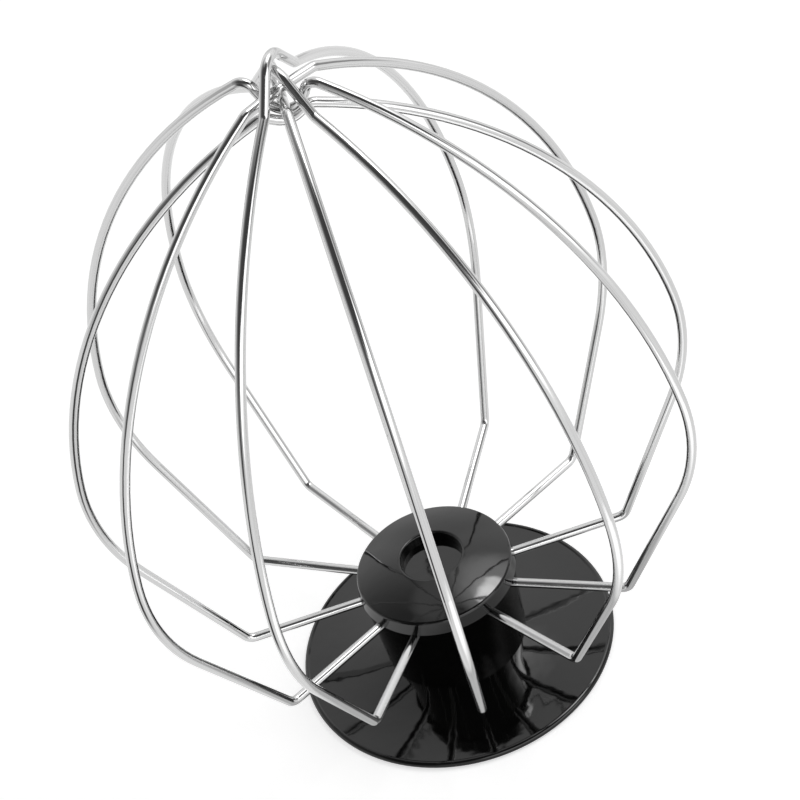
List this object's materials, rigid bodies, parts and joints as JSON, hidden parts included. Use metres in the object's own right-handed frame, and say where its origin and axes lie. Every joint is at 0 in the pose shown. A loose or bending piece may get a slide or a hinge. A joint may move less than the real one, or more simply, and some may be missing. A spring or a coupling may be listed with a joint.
{
  "type": "mixer whisk",
  "caption": "Balloon whisk for a stand mixer: bent steel wires cross at the tip and are clamped under a domed cap on a black splash-disc hub with a drive socket.",
  "frame": {"origin": "middle of the flat foot under the splash disc", "axes": "+Z along the drive axis from the socket's mouth to the wire tip; -Y is the side seen in the picture"},
  "size_m": [0.1148, 0.1164, 0.1448],
  "materials": {
    "black_plastic": "gloss moulded",
    "steel_wire": "polished"
  },
  "bodies": {
    "root": {"hub_body": "black_plastic", "hub_cap": "black_plastic", "wire_1": "steel_wire", "wire_2": "steel_wire", "wire_3": "steel_wire", "wire_4": "steel_wire", "wire_5": "steel_wire", "wire_6": "steel_wire"}
  },
  "joints": []
}
